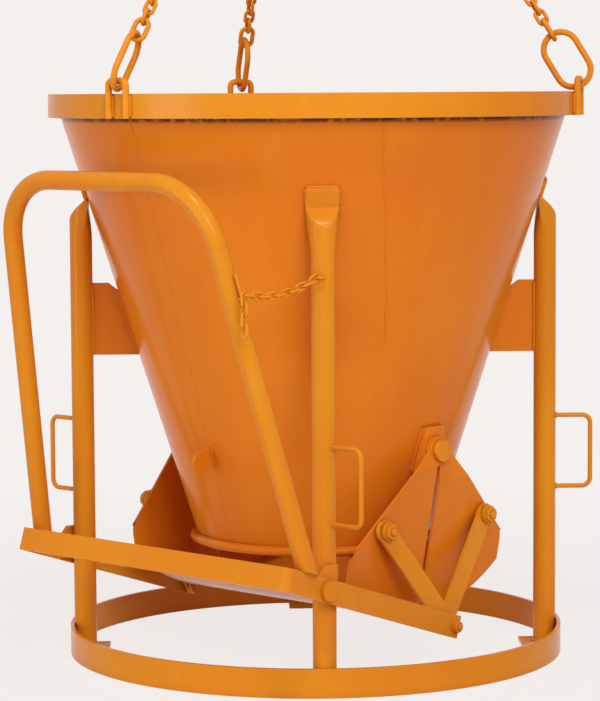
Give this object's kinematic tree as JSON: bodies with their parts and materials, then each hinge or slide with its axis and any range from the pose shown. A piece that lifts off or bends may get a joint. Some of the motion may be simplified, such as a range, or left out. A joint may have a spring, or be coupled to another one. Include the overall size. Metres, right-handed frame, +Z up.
{
  "type": "concrete bucket",
  "caption": "Conical crane bucket for wet concrete, with a bottom gate of swinging jaws worked by a bail lever, a tube stand and a chain sling.",
  "frame": {"origin": "on the ground under the cone's axis", "axes": "+Z up along the cone, -Y towards the lever and its bail, +X to the side that has the lock chain"},
  "size_m": [1.1378, 1.2144, 2.2707],
  "materials": {
    "hopper_enamel": "gloss",
    "frame_enamel": "gloss",
    "chain_enamel": "satin"
  },
  "bodies": {
    "bucket": {"hopper": "hopper_enamel", "rim": "frame_enamel", "neck_ring": "hopper_enamel", "base_ring": "frame_enamel", "leg_front_right": "frame_enamel", "leg_front_left": "frame_enamel", "leg_rear_right": "frame_enamel", "leg_rear_left": "frame_enamel", "gusset_front_right": "hopper_enamel", "gusset_front_left": "hopper_enamel", "gusset_rear_right": "hopper_enamel", "gusset_rear_left": "hopper_enamel", "foot_front_right": "frame_enamel", "foot_front_left": "frame_enamel", "foot_rear_right": "frame_enamel", "foot_rear_left": "frame_enamel", "grab_front_right": "frame_enamel", "grab_front_left": "frame_enamel", "grab_rear_right": "frame_enamel", "grab_rear_left": "frame_enamel", "hanger_right": "hopper_enamel", "hanger_left": "hopper_enamel", "jaw_pin_right": "frame_enamel", "jaw_pin_left": "frame_enamel", "fork_right": "frame_enamel", "fork_left": "frame_enamel", "lever_bolt_right": "frame_enamel", "lever_bolt_left": "frame_enamel", "stop_lug": "hopper_enamel", "lock_eye": "chain_enamel", "lug_front": "chain_enamel", "lug_right": "chain_enamel", "lug_left": "chain_enamel", "sling_leg_front": "chain_enamel", "sling_leg_right": "chain_enamel", "sling_leg_left": "chain_enamel", "end_links": "chain_enamel"},
    "lever": {"lever_frame": "frame_enamel", "lever_end_pins": "frame_enamel", "bail_bow": "frame_enamel", "bail_bend_right": "frame_enamel", "bail_bend_left": "frame_enamel", "bail_side_right": "frame_enamel", "bail_side_left": "frame_enamel", "lock_hook": "chain_enamel"},
    "front_jaw": {"front_shell": "hopper_enamel", "front_cheek_right": "hopper_enamel", "front_cheek_left": "hopper_enamel", "front_studs": "frame_enamel"},
    "rear_jaw": {"rear_shell": "hopper_enamel", "rear_cheek_right": "hopper_enamel", "rear_cheek_left": "hopper_enamel", "rear_studs": "frame_enamel"},
    "front_links": {"link_front_right": "frame_enamel", "link_front_left": "frame_enamel"},
    "rear_links": {"link_rear_right": "frame_enamel", "link_rear_left": "frame_enamel"},
    "lock_chain": {"lock_chain": "chain_enamel"},
    "master_ring": {"master_ring": "chain_enamel"}
  },
  "joints": [
    {"name": "lever_tilt", "type": "hinge", "parent": "bucket", "child": "lever", "pos_m": [0, -0.393, 0.223], "axis": [1, 0, 0], "range_deg": [0, 18]},
    {"name": "front_jaw_swing", "type": "hinge", "parent": "bucket", "child": "front_jaw", "pos_m": [0, 0, 0.463], "axis": [-1, 0, 0], "range_deg": [0, 19.1]},
    {"name": "rear_jaw_swing", "type": "hinge", "parent": "bucket", "child": "rear_jaw", "pos_m": [0, 0, 0.463], "axis": [1, 0, 0], "range_deg": [0, 29.6]},
    {"name": "front_link_swing", "type": "hinge", "parent": "lever", "child": "front_links", "pos_m": [0, 0, 0.095], "axis": [1, 0, 0], "range_deg": [0, 2.4]},
    {"name": "rear_link_swing", "type": "hinge", "parent": "lever", "child": "rear_links", "pos_m": [0, 0, 0.095], "axis": [-1, 0, 0], "range_deg": [0, 28.1]},
    {"name": "lock_chain_drop", "type": "hinge", "parent": "bucket", "child": "lock_chain", "pos_m": [0.3674, -0.3881, 0.846], "axis": [0.9999, -0.0106, 0], "range_deg": [0, 60]},
    {"name": "master_ring_tilt", "type": "hinge", "parent": "bucket", "child": "master_ring", "pos_m": [0, -0.00922, 2.13068], "axis": [1, 0, 0], "range_deg": [-40, 40]}
  ],
  "couplings": [
    {"joint": "front_jaw_swing", "follows": "lever_tilt", "ratio": 1.055},
    {"joint": "rear_jaw_swing", "follows": "lever_tilt", "ratio": 1.641},
    {"joint": "front_link_swing", "follows": "lever_tilt", "ratio": 0.131},
    {"joint": "rear_link_swing", "follows": "lever_tilt", "ratio": 1.555}
  ]
}
